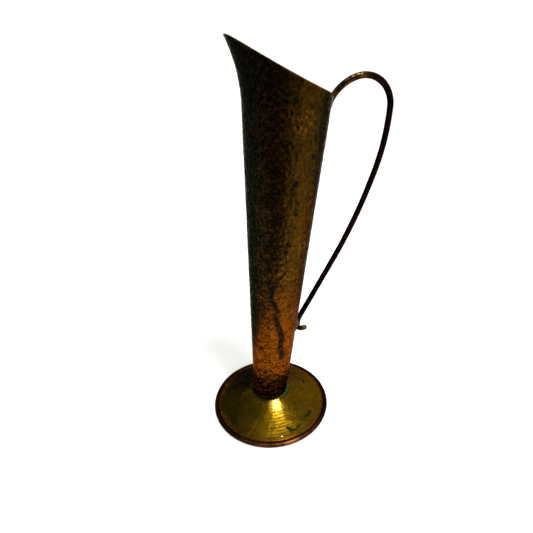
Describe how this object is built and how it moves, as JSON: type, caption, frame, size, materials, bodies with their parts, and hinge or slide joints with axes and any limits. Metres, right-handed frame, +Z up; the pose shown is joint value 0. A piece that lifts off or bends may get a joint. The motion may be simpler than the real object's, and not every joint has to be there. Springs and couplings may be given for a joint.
{
  "type": "hammered copper bud vase",
  "caption": "Tall slender pitcher-shaped bud vase: tapered hammered tube with a slanted pouring mouth, round flared foot and looped wire handle.",
  "frame": {"origin": "centre of the foot's resting plane", "axes": "+Z up; +X towards the handle; the pouring lip is towards -X; the XZ plane is the plane of symmetry"},
  "size_m": [0.1296, 0.09, 0.2577],
  "materials": {
    "hammered_copper": "hammered, dark patina",
    "braze_brass": "filed, tarnished",
    "tarnished_copper": "dull, tarnished",
    "spun_brass": "spun, olive patina",
    "rim_copper": "rubbed, brown patina",
    "verdigris_solder": "matt green corrosion",
    "bronzed_wire": "satin, dark brown patina",
    "tin_solder": "dull grey"
  },
  "bodies": {
    "root": {"body_tube": "hammered_copper", "seam_braze": "braze_brass", "tube_floor": "tarnished_copper", "foot_cone": "spun_brass", "foot_rim_ring": "rim_copper", "base_solder": "verdigris_solder", "handle_wire": "bronzed_wire", "upper_handle_solder": "tin_solder", "lower_handle_solder": "tin_solder"}
  },
  "joints": []
}
